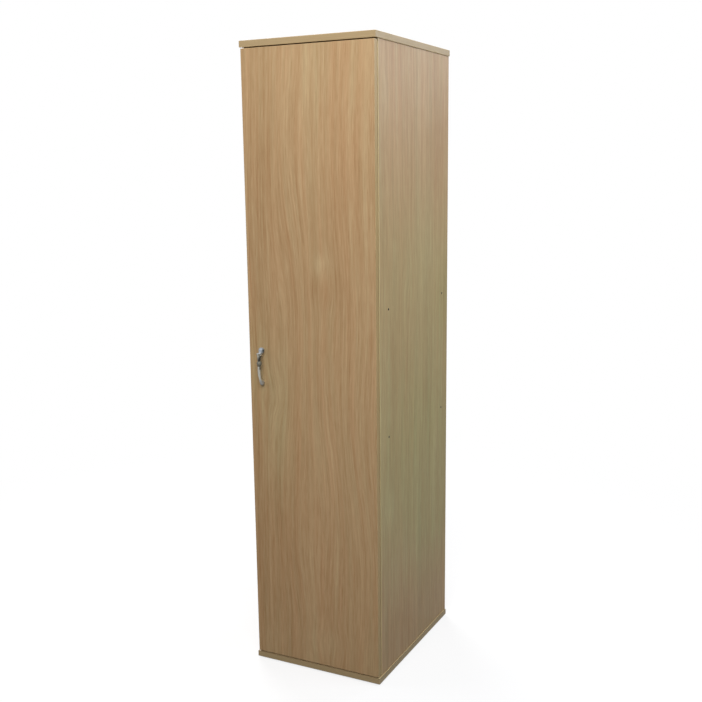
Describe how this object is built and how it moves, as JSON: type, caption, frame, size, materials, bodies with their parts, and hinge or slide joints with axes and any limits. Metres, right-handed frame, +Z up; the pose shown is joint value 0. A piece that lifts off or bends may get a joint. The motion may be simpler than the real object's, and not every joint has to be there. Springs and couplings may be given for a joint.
{
  "type": "single-door wardrobe",
  "caption": "Tall narrow beech-effect wardrobe with a full-height door on concealed cup hinges, a metal bow handle, fixed shelves and a hanging rail.",
  "frame": {"origin": "on the floor under the middle of the whole outline, handle included", "axes": "+Z up, -Y out of the door, +X towards the hinge side"},
  "size_m": [0.42, 0.558, 1.85],
  "materials": {
    "beech_laminate": "beech-effect melamine, satin, vertical grain, edges banded",
    "hardboard": "thin board, plain beech-coloured print inside, brown fibre behind",
    "hinge_steel": "nickel-plated pressed steel",
    "dark_steel": "dark zinc-plated screws",
    "zinc_alloy": "bare die-cast zinc alloy",
    "rail_chrome": "bright plated oval tube",
    "glide_plastic": "dark nail-on glide",
    "bumper_rubber": "soft clear dot",
    "handle_nickel": "satin nickel casting, bright on the crests"
  },
  "bodies": {
    "carcass": {"top_panel": "beech_laminate", "bottom_panel": "beech_laminate", "side_panel_left": "beech_laminate", "side_panel_right": "beech_laminate", "shelf_lower": "beech_laminate", "shelf_upper": "beech_laminate", "back_panel": "hardboard", "hinge_arm_1": "hinge_steel", "hinge_plate_1": "hinge_steel", "hinge_arm_2": "hinge_steel", "hinge_plate_2": "hinge_steel", "hinge_arm_3": "hinge_steel", "hinge_plate_3": "hinge_steel", "shelf_screw_lower_left_front": "dark_steel", "shelf_screw_lower_left_rear": "dark_steel", "shelf_screw_lower_right_front": "dark_steel", "shelf_screw_lower_right_rear": "dark_steel", "shelf_screw_upper_left_front": "dark_steel", "shelf_screw_upper_left_rear": "dark_steel", "shelf_screw_upper_right_front": "dark_steel", "shelf_screw_upper_right_rear": "dark_steel", "cam_fitting_top_left_front": "zinc_alloy", "cam_fitting_top_left_rear": "zinc_alloy", "cam_fitting_top_right_front": "zinc_alloy", "cam_fitting_top_right_rear": "zinc_alloy", "cam_fitting_bottom_left_front": "zinc_alloy", "cam_fitting_bottom_left_rear": "zinc_alloy", "cam_fitting_bottom_right_front": "zinc_alloy", "cam_fitting_bottom_right_rear": "zinc_alloy", "rail_socket_left": "zinc_alloy", "rail_socket_right": "zinc_alloy", "hanging_rail": "rail_chrome", "glide_1": "glide_plastic", "glide_2": "glide_plastic", "glide_3": "glide_plastic", "glide_4": "glide_plastic"},
    "outer_links": {"hinge_outer_link_1": "hinge_steel", "hinge_outer_link_2": "hinge_steel", "hinge_outer_link_3": "hinge_steel"},
    "door": {"door": "beech_laminate", "hinge_cup_1": "hinge_steel", "hinge_cup_2": "hinge_steel", "hinge_cup_3": "hinge_steel", "handle": "handle_nickel", "handle_screw_upper": "dark_steel", "handle_screw_lower": "dark_steel", "door_bumper_lower": "bumper_rubber", "door_bumper_upper": "bumper_rubber"},
    "inner_links": {"hinge_inner_link_1": "hinge_steel", "hinge_inner_link_2": "hinge_steel", "hinge_inner_link_3": "hinge_steel"}
  },
  "joints": [
    {"name": "outer_link_swing", "type": "hinge", "parent": "carcass", "child": "outer_links", "pos_m": [0.167, -0.2212, 0], "axis": [0, 0, 1], "range_deg": [-26.4, 0]},
    {"name": "door_swing", "type": "hinge", "parent": "outer_links", "child": "door", "pos_m": [0.1953, -0.2356, 0], "axis": [0, 0, 1], "range_deg": [0, 120.3]},
    {"name": "inner_link_swing", "type": "hinge", "parent": "door", "child": "inner_links", "pos_m": [0.1958, -0.2416, 0], "axis": [0, 0, 1], "range_deg": [-107.2, 0]}
  ],
  "couplings": [
    {"joint": "outer_link_swing", "follows": "door_swing", "ratio": -0.21875},
    {"joint": "inner_link_swing", "follows": "door_swing", "ratio": -0.89062}
  ]
}
